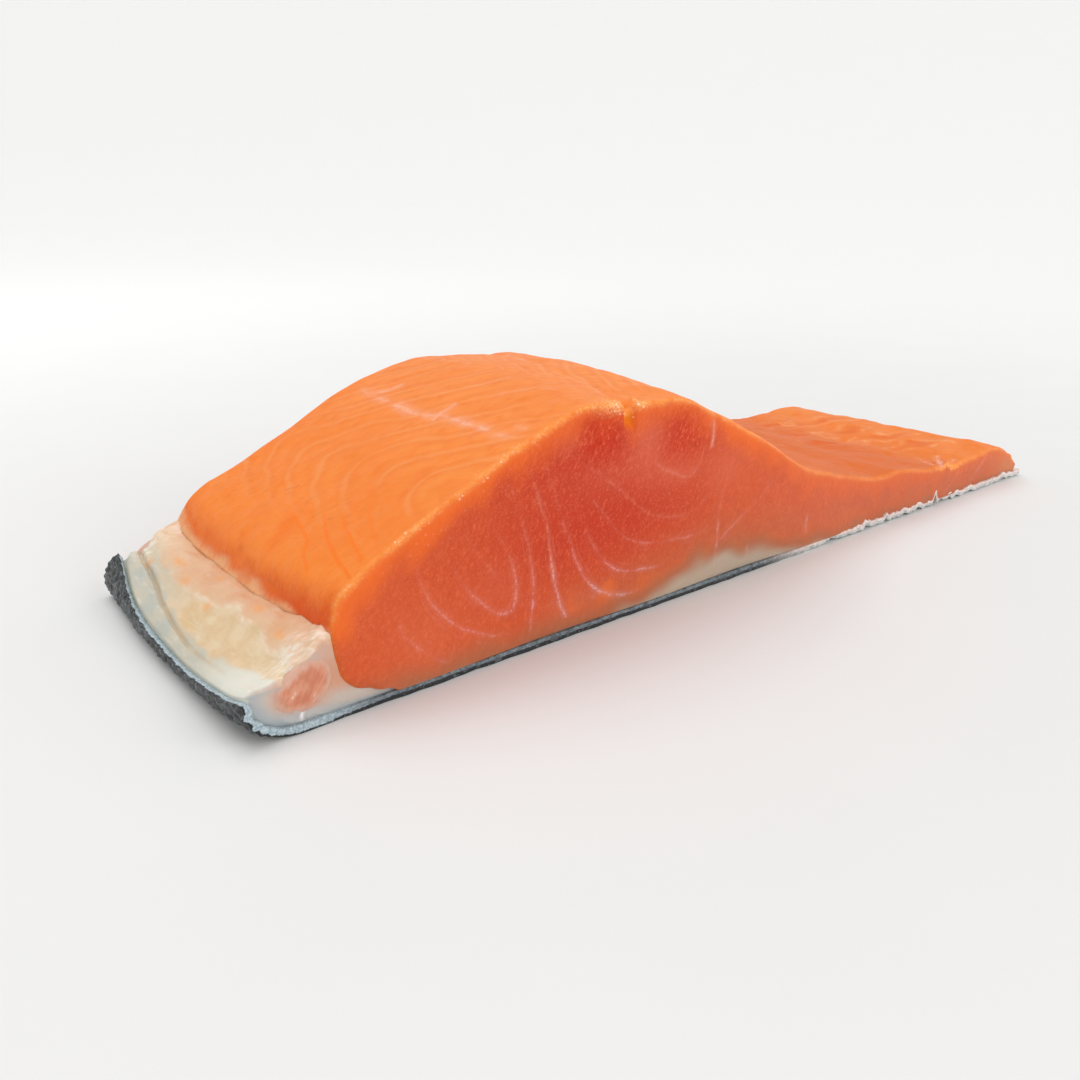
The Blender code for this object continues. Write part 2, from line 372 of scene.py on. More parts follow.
class Wire:
    """A node's output in a sum: each operator adds a Math node."""

    def __init__(self, finish, socket):
        self.finish = finish
        self.socket = socket

    def math(self, operation, *values):
        return self.finish.node("Math", {"operation": operation}, dict(enumerate(values)))

    def __add__(self, other):
        return self.math("ADD", self, other)

    def __sub__(self, other):
        return self.math("SUBTRACT", self, other)

    def __rsub__(self, other):
        return self.math("SUBTRACT", other, self)

    def __mul__(self, other):
        return self.math("MULTIPLY", self, other)

    def __truediv__(self, other):
        return self.math("DIVIDE", self, other)

    def __abs__(self):
        return self.math("ABSOLUTE", self)

    __radd__ = __add__
    __rmul__ = __mul__

    def larger(self, other):
        return self.math("MAXIMUM", self, other)

    def fraction(self):
        return self.math("FRACT", self)

    def rise(self, low, high):
        """0 below low and 1 above high, smooth between them; falls if low is above high."""
        settings = {"interpolation_type": 'SMOOTHSTEP'}
        return self.finish.node("MapRange", settings, {0: self, 1: low, 2: high, 3: 0.0, 4: 1.0})


class Finish:
    """A material made of nodes. Its colours are wires, or (red, green, blue) on a screen."""

    def __init__(self, name):
        self.material = bpy.data.materials.new(name)
        self.material.use_nodes = True
        self.tree = self.material.node_tree
        self.tree.nodes.clear()
        self.place = self.node("TexCoord", output="Object")

    def node(self, kind, settings=None, inputs=None, output=0):
        """A node of that type: its settings first, then the values or links of its sockets."""
        made = self.tree.nodes.new("ShaderNode" + kind)
        for key, value in (settings or {}).items():
            setattr(made, key, value)
        for key, value in (inputs or {}).items():
            if isinstance(value, Wire):
                self.tree.links.new(value.socket, made.inputs[key])
            else:
                made.inputs[key].default_value = value
        return Wire(self, made.outputs[output]) if made.outputs else None

    def mark(self, name):
        """A number that the mesh carries at each point."""
        return self.node("Attribute", {"attribute_name": name}, output="Fac")

    def stretched(self, longer, turn=(0, 0, 0)):
        """Object coordinates for a pattern that is that much longer along its axes, which are
        turned by that many degrees."""
        inputs = {"Vector": self.place, "Rotation": [math.radians(a) for a in turn],
                  "Scale": longer}
        return self.node("Mapping", {"vector_type": 'TEXTURE'}, inputs, "Vector")

    def grain(self, size, detail=2.0, rough=0.5, where=None):
        """Noise with features of about that size in millimetres."""
        inputs = {"Vector": where or self.place, "Scale": 1 / (size * MM), "Detail": detail,
                  "Roughness": rough}
        return self.node("TexNoise", {"noise_dimensions": '3D'}, inputs, "Fac")

    def cells(self, size, where=None):
        """How far each place is from the middle of its cell, of about that size."""
        inputs = {"Vector": where or self.place, "Scale": 1 / (size * MM)}
        return self.node("TexVoronoi", {"feature": 'F1'}, inputs, "Distance")

    def mix(self, share, first, second):
        """Two colours mixed."""
        first, second = (c if isinstance(c, Wire) else paint(*c) for c in (first, second))
        settings = {"data_type": 'RGBA', "blend_type": 'MIX', "clamp_factor": True}
        return self.node("Mix", settings, {0: share, 6: first, 7: second}, 2)

    def coats(self, colour, *coats):
        """A colour with others laid over it in turn, each as (share, colour)."""
        for share, over in coats:
            colour = self.mix(share, colour, over)
        return colour

    def bump(self, height, distance, strength=1.0, below=None):
        """A normal that follows fine relief of that depth in millimetres."""
        inputs = {"Height": height, "Distance": distance * MM, "Strength": strength}
        if below:
            inputs["Normal"] = below
        return self.node("Bump", {}, inputs, "Normal")

    def surface(self, **sockets):
        """Ends the material in a Principled shader, with underscores for spaces in its sockets."""
        inputs = {key.replace("_", " "): value for key, value in sockets.items()}
        shader = self.node("BsdfPrincipled", {"subsurface_method": 'BURLEY'}, inputs, "BSDF")
        self.node("OutputMaterial", inputs={"Surface": shader})
        return self.material


TOP_FIBRES = (0, 0, -28)        # how the muscle fibres lie on the top, in degrees
CUT_FIBRES = (0, -65, 0)        # and in the cuts


def flesh_finish():
    """Wet muscle: bright orange on top, redder in the cuts, greyish tan fat next to the skin."""
    f = Finish("salmon_flesh")
    cut = f.mark("cut")
    low = f.mark("low")
    blotch = f.grain(16, 3)
    mottle = f.grain(3.0, 3)
    fibre = f.grain(0.8, 3, 0.6, f.stretched((2.0, 1.0, 1.0), CUT_FIBRES))
    fine = f.grain(0.45, 3, 0.6)
    fray = f.grain(1.2, 3, 0.7)

    # the top: bands of muscle between thin sheets, with painted shade across each band and a
    # painted highlight beside each sheet, as on stepped flakes
    off = (f.mark("arch").fraction() - 0.5) * f.mark("arch_spacing")
    shows = f.mark("arch_shows") * blotch.rise(0.3, 0.55)
    painted_step_highlight = abs(off - 1.0).rise(0.9, 0.05) * shows
    streaks = f.grain(1.2, 3, 0.6, f.stretched((4.0, 1.0, 1.0), TOP_FIBRES))
    scratches = f.grain(0.9, 3, 0.7, f.stretched((3.0, 1.0, 1.6), TOP_FIBRES))
    scratched = scratches.rise(0.58, 0.68) * (f.mark("scratched") * 0.5 + 0.08)
    fatty = (f.mark("fatty") * (fray * 1.2 + 0.4)).rise(0.15, 0.8)
    top = f.coats(
        f.mix(blotch.rise(0.35, 0.7), (249, 128, 30), (252, 138, 42)),
        # painted sheen: paler towards the crest; also paler towards the belly
        (f.mark("pale"), (254, 156, 84)),
        (streaks.rise(0.5, 0.7) * 0.15, (255, 164, 94)),
        (streaks.rise(0.5, 0.34) * 0.13, (236, 106, 30)),
        # painted shade: darker across each band towards the next sheet, then a darker line at the
        # sheet and a painted highlight just beside it
        (off.rise(-3.0, 3.0) * shows * 0.22, (240, 108, 24)),
        (abs(off).rise(1.2, 0.1) * shows * 0.12, (234, 98, 18)),
        (painted_step_highlight * (mottle.rise(0.35, 0.6) * 0.18 + 0.18), (255, 176, 112)),
        # painted shade: the belly part's top darker orange, fading out towards the belly
        (f.mark("flap"), (228, 110, 40)),
        (mottle.rise(0.5, 0.75) * 0.3, (240, 110, 26)),
        (scratched * 0.7, (216, 94, 32)),
        (blotch.rise(0.55, 0.75) * f.mark("low_slope") * 0.6, (244, 104, 4)),
        (f.mark("blob"), (232, 92, 14)),
        (f.mark("ring") * mottle.rise(0.3, 0.6), (255, 192, 140)),
        # painted shade: deeper orange down the back slope into the groove where the flesh meets the
        # fat
        (f.mark("deep"), (224, 82, 6)),
        (f.mark("deep") * fray.rise(0.5, 0.62) * 0.5, (212, 84, 30)),
        (fatty, (238, 174, 124)))

    # the cuts: red in the middle, lighter and pinker towards the belly
    crinkle = f.grain(0.65, 3, 0.7, f.stretched((1.5, 1.0, 1.0), (0, -60, 0)))
    crinkled = f.mark("crinkled")
    meat = f.coats(
        f.mix(f.mark("red"), (218, 94, 51), (200, 60, 35)),
        (f.mark("belly"), (218, 104, 68)),
        (blotch.rise(0.45, 0.75) * 0.25, (200, 64, 38)),
        (fibre.rise(0.5, 0.75) * 0.25, (250, 128, 84)),
        (fibre.rise(0.5, 0.2) * 0.3, (196, 50, 26)),
        (fine.rise(0.5, 0.68) * 0.2, (248, 140, 104)),
        (f.mark("lobe"), (208, 52, 20)),
        (crinkle.rise(0.52, 0.66) * crinkled * 0.45, (240, 128, 92)),
        (crinkle.rise(0.48, 0.36) * crinkled * 0.5, (176, 42, 16)),
        (f.mark("belly_end"), (240, 146, 98)),
        (f.mark("haze") * 0.6, (240, 136, 104)),
        # painted light: brighter orange just below the cut's top edge, as if light came through the
        # edge
        (f.mark("glow"), (252, 116, 40)),
        (f.mark("grey"), f.mix(f.mark("skin_side"), (172, 114, 82), (190, 174, 154))))

    # white threads, thinner in the cuts, and lines of deeper orange on the top
    wide = 1.9 - cut * 1.1 + low * cut * 0.35
    ragged = (mottle - 0.5) * 0.9 + (fine - 0.5) * 0.35
    broken = f.grain(4.5, 2).rise(0.36, 0.6) * 0.75 + 0.25
    grains = fine.rise(0.38, 0.58)
    bright = low * 0.4 + 0.52 - cut * 0.3
    white, deep = 0.0, 0.0
    for name in SETS:
        thread = f.mark("thread_" + name)
        shown = f.mark("shown_" + name)
        off = (thread + ragged) / wide
        core = abs(off).rise(0.32, 0.04) * grains
        beside = abs(abs(off) - 1.2).rise(0.35, 0.05) * mottle.rise(0.45, 0.65) * 0.12
        line = core * bright + abs(off).rise(1.1, 0.1) * (0.34 - cut * 0.18) + beside
        white = (line * broken * shown).larger(white)
        thin = thread + ragged * 0.35
        deep = (abs(thin).rise(0.42, 0.12) * shown * -0.9).larger(deep)

    # painted highlight: a paler, brighter orange line along the rounded edge between top and cut
    rim = f.mark("rim") * (mottle.rise(0.3, 0.6) * 0.6 + 0.4)
    # painted glints: tiny near-white specks by the top edge, which also get a glossy coat
    painted_glints = f.cells(1.0).rise(0.26, 0.12) * mottle.rise(0.44, 0.5) * f.mark("painted_glints")
    colour = f.coats(
        f.mix(cut, top, meat),
        (white, f.mix(low * cut, (252, 196, 176), (240, 206, 214))),
        (deep, (252, 118, 6)),
        (f.mark("notch"), (234, 118, 10)),
        (rim, f.mix(fine.rise(0.4, 0.7) * 0.8, (255, 152, 68), (255, 196, 134))),
        (f.mark("lump") * fine.rise(0.36, 0.62) * 0.8, (255, 206, 146)),
        (painted_glints, (255, 240, 222)))
    coarse = f.bump(mottle + crinkle * crinkled * 1.2 - scratched * 0.2, 0.3, 0.6)
    wet = f.bump(fibre * 0.6 + fine * 0.4, 0.3, 0.8, coarse)
    return f.surface(
        Base_Color=colour, Roughness=0.36 + mottle * 0.25, Normal=wet, IOR=1.4,
        Specular_IOR_Level=0.18,
        Subsurface_Weight=0.5, Subsurface_Radius=(1.0, 0.35, 0.18), Subsurface_Scale=0.0009,
        Coat_Weight=painted_glints * 0.6 + fine.rise(0.62, 0.7) * 0.12, Coat_Roughness=0.12, Coat_IOR=1.35)


def fat_finish():
    """Fat along the back: greyish white at the skin, tan in the valley, pinkish at the flesh."""
    f = Finish("back_fat")
    cloud = f.grain(5, 3)
    fine = f.grain(0.6, 3)
    fray = f.grain(1.2, 3, 0.7)
    along = f.grain(1.3, 3, 0.6, f.stretched((1.0, 4.0, 1.0)))
    strand = f.grain(1.1, 3, 0.6, f.stretched((4.0, 1.0, 1.6), (0, 0, -35)))
    torn = f.mark("torn")
    clouded = cloud.rise(0.35, 0.65)
    tan = f.coats(
        f.mix(clouded, (226, 190, 140), (238, 208, 168)),
        (along.rise(0.5, 0.7) * 0.45, (236, 218, 184)))
    pink = f.coats(
        f.mix(clouded, (232, 186, 148), (228, 172, 130)),
        (along.rise(0.55, 0.75) * 0.35, (244, 212, 182)),
        (f.mark("cream"), (240, 212, 176)))
    face = f.coats(
        f.mix(f.mark("near_flesh"), (204, 190, 178), (218, 160, 130)),
        (f.mark("skin_side"), (176, 182, 184)),
        (cloud.rise(0.4, 0.7) * 0.4, (206, 194, 186)),
        # painted highlight: a near-white glint on a drip running down the cut
        (f.mark("painted_drip_glint") * 0.9, (250, 250, 252)))
    colour = f.coats(
        f.mix(clouded, (206, 198, 178), (192, 192, 180)),
        (along.rise(0.55, 0.75) * 0.5, (226, 222, 206)),
        (f.mark("near_front") * 0.8, (240, 238, 224)),
        (f.mark("tan"), tan),
        (f.mark("pink"), pink),
        (f.mark("orange") * fine.rise(0.3, 0.5) * 0.8, (244, 168, 96)),
        # painted shadow: a darker line along the crease beside the skin
        (f.mark("crease") * along.rise(0.3, 0.55) * 0.55, (200, 164, 120)),
        # painted highlight along the edge of the ledge of pinkish fat
        (f.mark("step") * along.rise(0.35, 0.6), (250, 238, 218)),
        ((f.mark("flesh_stain") * (fray * 1.2 + 0.4)).rise(0.1, 0.9), (232, 164, 116)),
        (torn * 0.35, (246, 232, 208)),
        (torn * strand.rise(0.48, 0.68) * 0.6, (255, 250, 242)),
        (torn * strand.rise(0.42, 0.25) * 0.35, (224, 180, 130)),
        (f.mark("cut"), face))
    wet = f.bump(fine * 0.3 + along * 0.7, 0.3, 0.6, f.bump(strand * torn, 0.3, 0.6))
    return f.surface(
        Base_Color=colour, Roughness=0.30 + fine * 0.2, Normal=wet, IOR=1.4,
        Specular_IOR_Level=0.35,
        Subsurface_Weight=0.4, Subsurface_Radius=(1.0, 0.7, 0.45), Subsurface_Scale=0.0009,
        Coat_Weight=0.2 + torn * 0.5, Coat_Roughness=0.1)


def fin_finish():
    """The small muscle of the back fin: pinkish orange, streaked with white."""
    f = Finish("fin_muscle")
    streak = f.grain(1.0, 3, 0.6, f.stretched((1.0, 1.0, 3.0), (0, 35, 0)))
    fine = f.grain(0.4, 2)
    colour = f.coats(
        f.mix(streak.rise(0.35, 0.6), (208, 128, 96), (224, 154, 124)),
        (streak.rise(0.62, 0.72) * 0.7, (252, 226, 208)),
        (f.mark("edge"), (222, 176, 154)))
    return f.surface(
        Base_Color=colour, Roughness=0.3 + fine * 0.2, Normal=f.bump(streak, 0.25, 0.6),
        IOR=1.4, Subsurface_Weight=0.4, Subsurface_Radius=(1.0, 0.5, 0.35),
        Subsurface_Scale=0.0007, Coat_Weight=streak.rise(0.5, 0.7), Coat_Roughness=0.1)


def skin_finish():
    """Skin: dark and scaly outside, silvery towards the belly, blue-white where it is cut."""
    f = Finish("salmon_skin")
    scale = f.cells(1.7, f.stretched((1.0, 1.4, 1.0)))
    patch = f.grain(1.5, 3, 0.7)
    fine = f.grain(0.4, 3, 0.7)
    belly = f.mark("belly")
    dark = f.coats(
        f.mix(f.mark("raised").rise(-0.5, 0.9), (11, 14, 17), (62, 68, 71)),
        (scale.rise(0.45, 0.7) * 0.6, (20, 24, 28)),
        (patch.rise(0.56, 0.64) * 0.8, (104, 110, 112)),
        (fine.rise(0.62, 0.7) * 0.7, (160, 166, 166)))
    silver = f.mix(scale.rise(0.2, 0.6), (176, 180, 180), (214, 214, 210))
    speckled = fine.rise(0.35, 0.65)
    wall = f.coats(
        f.mix(speckled, (144, 164, 174), (196, 212, 219)),
        # darker on the flat part's cut edge: partly the dark outer skin, partly painted shade where
        # the edge lies under the flesh
        (f.mark("flat") * (0.62 + patch.rise(0.45, 0.6) * 0.3), (66, 76, 82)),
        (belly, f.mix(speckled, (222, 192, 184), (255, 244, 238))))
    ragged = (patch - 0.5) * 0.5 + (fine - 0.5) * 0.3
    colour = f.mix((f.mark("through") + ragged).rise(0.24, 0.34), f.mix(belly, dark, silver), wall)
    relief = f.bump(patch * 0.6 + fine * 0.4, 0.35, 0.8)
    return f.surface(
        Base_Color=colour, Roughness=0.32 + patch * 0.35, Normal=relief, IOR=1.45,
        Coat_Weight=0.2, Coat_Roughness=0.15)


def floor_finish():
    """Pale matt floor, lit from within where it sweeps up into the backdrop."""
    f = Finish("pale_floor")
    colour = f.mix(f.grain(40, 2), (233, 233, 232), (236, 236, 235))
    glow = f.mix(f.mark("backdrop"), (0, 0, 0), (255, 255, 254))
    return f.surface(Base_Color=colour, Roughness=1.0, Specular_IOR_Level=0.1,
                     Emission_Color=glow, Emission_Strength=BACKDROP_GLOW)


# ---- flesh ----

# Centres that the ends of the flesh are rounded about
FLESH_BACK = np.array((24.0, 9.5))
FLESH_BELLY = np.array((220.5, 5.6))
# Shares of the way from one to the other, and the steps on from there: close together at the
# notch in the crest and at the torn place on the flap
FLESH_ACROSS = [(0.0, 58), (0.236, 28), (0.272, 130), (0.82, 30), (0.875, 32), (1.0, 0)]
FLESH_BACK_TURN = 64            # steps round each end
FLESH_BELLY_TURN = 12
FLESH_STEP = 0.95               # between sections, which lie closer together beside the cuts
FLESH_CLOSE = [0, 0.12, 0.3, 0.55, 0.85, 1.2, 1.65, 2.3]
PACKED_EDGE = 2.4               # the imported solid's edges are rounded this far in from its cuts
TOP_RADIUS = 1.1                # how far each cut's edge is rounded: on top, at the back, below
END_RADIUS = 1.9
LOW_RADIUS = 0.05
FOOT = 1.45                     # height of its foot, on the skin
FOOT_BEGINS = (23.9, 25.5)      # across, where the back's curve turns into the flat foot


def flesh_ring():
    """Start and direction of the ray to each point round the flesh's section."""
    spine = FLESH_BACK + (FLESH_BELLY - FLESH_BACK) * spread_out(FLESH_ACROSS)[:, None]
    belly_turn, back_turn = (np.pi * np.arange(1, steps) / steps
                             for steps in (FLESH_BELLY_TURN, FLESH_BACK_TURN))
    start = np.vstack([spine, np.tile(FLESH_BELLY, (len(belly_turn), 1)), spine[::-1],
                       np.tile(FLESH_BACK, (len(back_turn), 1))])
    angle = np.hstack([np.full(len(spine), np.pi / 2), np.pi / 2 - belly_turn,
                       np.full(len(spine), -np.pi / 2), -np.pi / 2 - back_turn])
    return start, np.stack([np.cos(angle), np.sin(angle)], axis=1)


def arches(across, depth):
    """Phase of the muscle sheets on the top, and how far apart they are there."""
    table = smooth_line(ARCH, 8)
    reach = np.interp(across, table[:, 0], table[:, 1])
    slope = np.interp(across, table[:, 0], np.gradient(table[:, 1], table[:, 0]))
    wander = 0.10 * waves(across, depth, 14, 21)
    return (depth - reach) / ARCH_SPACING + wander, ARCH_SPACING / np.hypot(1, slope)


# Darker segments of the thin belly part: middle across, middle in depth, reach each way
FLAP_SEGMENTS = [(203, 16, 9, 2.4), (205, 27, 11, 2.8), (201, 38, 9, 2.6), (206, 50, 12, 3.2),
                 (183, 31, 10, 2.4), (181, 44, 12, 2.8), (187, 57, 10, 2.8), (163, 52, 11, 2.6)]


def flap_blobs(across, depth):
    """How dark the segments of the belly part are, and how much of their pale edges shows."""
    blob, ring = 0, 0
    a = across + 2.4 * waves(across, depth, 12, 15)
    d = depth + 1.3 * waves(across, depth, 11, 16)
    uneven = 0.5 + 0.5 * waves(across, depth, 8, 19)
    for middle_a, middle_d, reach_a, reach_d in FLAP_SEGMENTS:
        lean = (a - middle_a) * 0.3
        out = np.hypot((a - middle_a) / reach_a, (d - middle_d + lean) / reach_d)
        blob = blob + rise(1.05, 0.2, out)
        ring = ring + hump(out, 1.2, 0.2) * uneven
    return np.clip(blob, 0, 1), np.clip(ring, 0, 1)


def top_relief(across, depth):
    """How far the flesh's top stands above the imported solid, in millimetres."""
    phase, spacing = arches(across, depth)
    off = (phase % 1 - 0.5) * spacing
    relief = -0.02 * hump(off, 0, 1.0) * rise(16, 24, across) * rise(120, 96, across)
    relief += 0.14 * waves(across, depth, 13, 3) + 0.04 * waves(across, depth, 4.0, 5)
    relief -= 0.55 * hump(across, at_depth(CREST, depth), 1.1) * (1 - 0.6 * rise(0, 20, depth))
    notch = rise(1.6, 0.9, np.abs(across - NOTCH - 0.15 * depth))
    relief -= 0.8 * notch * rise(3.4, 1.2, depth)
    beside_notch = hump(across, NOTCH, 4.4) * rise(5.0, 1.5, depth) * (1 - notch)
    relief += beside_notch * (0.25 + 0.4 * waves(across, depth, 1.6, 31))
    relief += 0.45 * hump(across, 88.5, 5.0) * rise(16, 3, depth)
    bone, shown = nearest_line(across, depth, TOP_THREADS[0][:1])
    relief -= 0.14 * hump(bone, 0, 0.8) * shown
    flap = rise(112, 135, across)
    relief += flap * (0.25 * waves(across, depth, 18, 8) + 0.08 * waves(across, depth, 6, 9))
    relief -= 0.15 * flap_blobs(across, depth)[0]
    torn = rise(9.0, 2.0, depth) * hump(across, 190, 7)
    relief += 1.0 * hump(across, 188.6 + 1.3 * depth, 1.5) * torn
    relief -= 0.7 * hump(across, 186.2 + 1.2 * depth, 0.8) * torn
    relief += 0.3 * waves(across, depth, 1.8, 33) * torn
    return relief


def notch_dent(across, depth, height):
    """How far into the small torn notch under the crest a point lies."""
    wide = rise(NOTCH - 1.7, NOTCH - 1.2, across) * rise(NOTCH + 1.5, NOTCH + 0.7, across)
    tall = rise(35.4, 37.0, height + 0.4 * (across - NOTCH)) * rise(41.0, 40.2, height)
    return wide * tall * rise(2.5, 1.0, depth)


def meet_fat(outline, depths):
    """Sweeps the flesh's back out over the fat's top: hardly at the front, softly further back."""
    tops = over_depth(STRIP_TOP, depths).reshape(len(depths), -1, 2)
    sweeps = 0.2 + 1.3 * rise(5, 28, depths)
    for ring, top, sweep in zip(outline, tops, sweeps):
        across, height = ring.T.copy()
        back = across < FLESH_BACK[0]
        wall = across[back][np.abs(height[back] - top[-1, 1]).argmin()]
        foot = wall - sweep
        up = (height - np.interp(foot, *top.T)) / (0.6 + 1.8 * sweep)
        share = np.where(up > 0, (1 - np.clip(up, 0, 1)) ** 2, np.exp(np.minimum(up, 0) / 0.1))
        ring[:, 0] = np.where(back, across + (foot - across) * share, across)


# Height of the soft upper edge of the fat next to the skin, as (across, height)
GREY_LINE = [(0, 2.2), (60, 2.6), (73, 3.6), (83, 4.8), (93, 7.2), (99, 8.2), (108, 7.4),
             (118, 5.6), (128, 3.6), (140, 2.4), (160, 2.0), (232, 1.8)]
# Paler patches in the cut: strength, middle across and up, reach each way
HAZE = [(0.55, 78.6, 33, 4.5, 5), (0.25, 71, 28, 9, 3), (0.35, 86, 26, 7, 3), (0.3, 60, 36, 3, 3),
        (0.3, 101, 24, 6, 5), (0.2, 45, 13, 6, 5), (0.25, 31, 8, 6, 6), (0.3, 62, 6, 7, 3)]
FAR_SHIFT = 12.0                # how far across the far cut's pattern has moved


def mark_flesh(block):
    """The marks that the flesh's finish reads."""
    across, depth, height = block.across, block.depth, block.height
    shifted = across - np.where(block.front, 0, FAR_SHIFT)
    on_cut = block.cut > 0.5
    by_edge = np.where(on_cut, block.inward, from_cut(depth))
    marks = block.marks
    marks["cut"] = block.cut
    marks["low"] = rise(18, 8, height)

    # sheets and threads
    marks["arch"], marks["arch_spacing"] = arches(across, depth)
    marks["arch_shows"] = rise(20, 33, across) * rise(125, 98, across)
    fade = rise(0.6, 2.5, block.inward)
    by_height = 0.6 + 0.6 * rise(24, 12, height) - 0.3 * rise(9, 3, height)
    for name, cut_threads, top_threads in zip(SETS, CUT_THREADS, TOP_THREADS):
        offset, shown = nearest_line(shifted, height, cut_threads)
        top_offset, top_shown = nearest_line(across, depth, top_threads)
        marks["thread_" + name] = np.where(on_cut, offset, top_offset)
        marks["shown_" + name] = np.where(on_cut, shown * fade * by_height, top_shown)

    # the notch, and the top from the back edge to the flap
    marks["notch"] = 0.95 * notch_dent(across, depth, height)
    lumps = hump(across, 70.6, 1.6) + hump(across, 76.8, 1.2) + 0.4 * hump(across, 67.5, 2)
    marks["lump"] = 0.8 * np.clip(lumps, 0, 1) * rise(38.4, 39.6, height) * rise(5, 1, depth)
    marks["scratched"] = hump(across, 27, 9) * rise(8, 20, depth)
    marks["low_slope"] = hump(across, 19, 7) * rise(4, 14, depth)
    root = over_depth([station[:1] + station[-1:] for station in STRIP_TOP], depth.ravel())
    above_root = height - root.reshape(depth.shape) + 0.5 * waves(across + height, depth, 7, 18)
    at_root = (across < 24) * (1 - block.cut)
    soft = 0.8 + 3.0 * rise(5, 25, depth)
    fatty = (1 - rise(-1.6, soft, above_root)) * (0.5 + 0.4 * rise(3, 14, depth))
    marks["fatty"] = fatty * at_root + 0.8 * rise(219, 223.5, across) * rise(9.5, 5, height)
    # painted shade in the groove where the flesh meets the fat, weaker away from the front cut
    marks["deep"] = (0.95 - 0.35 * rise(10, 40, depth)) * rise(6.5, 0, above_root) * at_root
    blob, ring = flap_blobs(across, depth)
    on_flap = rise(110, 152, across)
    # painted shade on the belly part's top, fading out towards the belly
    marks["flap"] = on_flap * (1 - 0.8 * rise(180, 206, across))
    marks["blob"] = 0.5 * blob * on_flap
    marks["ring"] = 0.55 * ring * on_flap * rise(160, 200, across)
    # painted sheen, paler higher up towards the crest, and paler towards the belly
    marks["pale"] = 0.14 + 0.28 * rise(22, 42, height) + 0.22 * rise(140, 215, across)

    # the cuts
    marks["red"] = hump(across, 68, 31) * rise(2, 20, height)
    marks["belly"] = rise(96, 150, across)
    marks["belly_end"] = 0.45 * rise(206, 222, across) + 0.4 * rise(217, 225, across)
    haze = sum(strength * spot(shifted, height, *place) for strength, *place in HAZE)
    marks["haze"] = np.clip(haze, 0, 1)
    lobes = spot(across, height, 67, 36, 5.2, 4.2) + 0.75 * spot(across, height, 87, 33, 8.2, 5.8)
    marks["lobe"] = 0.75 * np.clip(1.2 * lobes, 0, 1)
    marks["crinkled"] = rise(22, 31, height) * (0.35 + 0.65 * np.clip(1.6 * lobes, 0, 1))
    uneven = 1 + 0.3 * waves(across, height, 8, 17)
    # painted light: the cut brighter just below its top edge, less so in the lobes and towards the
    # belly
    glow = 0.75 * rise(7.0, 0.3, block.inward * uneven)
    glow *= rise(10, 15, height + (across > 60) * 8)
    glow *= (1 - 0.7 * np.clip(1.3 * lobes, 0, 1)) * (1 - 0.5 * rise(104, 132, across))
    marks["glow"] = glow
    grey_line = np.interp(shifted, *smooth_line(GREY_LINE, 6).T)
    above = height - grey_line + 0.5 * waves(across, height, 9, 14)
    veil = 0.3 * rise(11, 0, above) * rise(48, 70, shifted)
    marks["grey"] = np.maximum(0.95 * rise(4.6, -3.4, above), veil)
    marks["skin_side"] = rise(-0.5, -4.0, above)

    # the edge between top and cut: a painted highlight along it, and painted glints beside it
    torn = spot(across, height, 73.5, 41, 5, 3) + 0.8 * hump(across, 191, 6) * (height > 6)
    clear = np.clip(rise(13, 19, height) + (across > 60) * rise(4, 6, height), 0, 1)
    clear *= 0.9 - 0.35 * rise(100, 125, across)
    # painted highlight along the rounded edge, brighter at the torn places
    marks["rim"] = np.clip(hump(by_edge, 0.15, 0.75) * (clear + torn), 0, 1)
    along = 0.8 * hump(across, 36, 13) + 1.6 * hump(across, 72.5, 4.5)
    # painted glints close to the top edge, most of them beside the notch
    painted_glints = rise(2.0, 0.3, by_edge) + 0.15 * rise(9, 1, by_edge)
    marks["painted_glints"] = np.clip(painted_glints * along, 0, 1) * (height > 12)


def flesh():
    """The muscle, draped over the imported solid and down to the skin."""
    surface = packed_surface("flesh")
    depths = cut_depths(FLESH_STEP, FLESH_CLOSE)
    start, way = flesh_ring()
    reach = np.array([[reach_of(surface, (s[0], d, s[1]), w) for s, w in zip(start, way)]
                      for d in np.clip(depths, PACKED_EDGE, DEPTH - PACKED_EDGE)])
    reach = soften(reach, 10, False)
    reach = soften(reach.T, 6, True).T
    # beside the cuts the reach goes on as it runs further in
    for beside, end, step in ((depths < PACKED_EDGE, 0, 3), (depths > DEPTH - PACKED_EDGE, -1, -3)):
        first = np.flatnonzero(~beside)[end]
        slope = (reach[first + step] - reach[first]) / (depths[first + step] - depths[first])
        reach[beside] = reach[first] + slope * (depths[beside] - depths[first])[:, None]
    foot = (start[:, 1] - FOOT) / np.maximum(-way[:, 1], 0.2)
    low = rise(*FOOT_BEGINS, start[:, 0]) * rise(0.1, 0.6, -way[:, 1])
    reach = reach + np.maximum(foot - reach, 0) * low
    outline = start + reach[:, :, None] * way
    relief = top_relief(outline[:, :, 0], np.broadcast_to(depths[:, None], reach.shape))
    outline = outline + (relief * rise(0.2, 0.8, way[:, 1]))[:, :, None] * way
    meet_fat(outline, depths)
    up = way[:, 1] > 0.5
    back = (start[:, 0] <= FLESH_BACK[0]) & (way[:, 0] < -0.3) & ~up
    radius = np.where(back, END_RADIUS, np.where(up, TOP_RADIUS, LOW_RADIUS))
    radius = soften(radius[:, None], 6, True)[:, 0]
    middle = np.broadcast_to(start, outline.shape)
    block = Block(depths, outline, middle, radius, cap_rows=28, spread=1.4)
    mark_flesh(block)
    bow = 0.22 * waves(block.across, block.height, 34, 11)
    dent = 0.9 * notch_dent(block.across, block.depth, block.height)
    block.depth = block.depth + bow * block.near_cut(7) + dent
    add_piece("flesh_block", block, flesh_finish(), "flesh")


# ---- skin ----

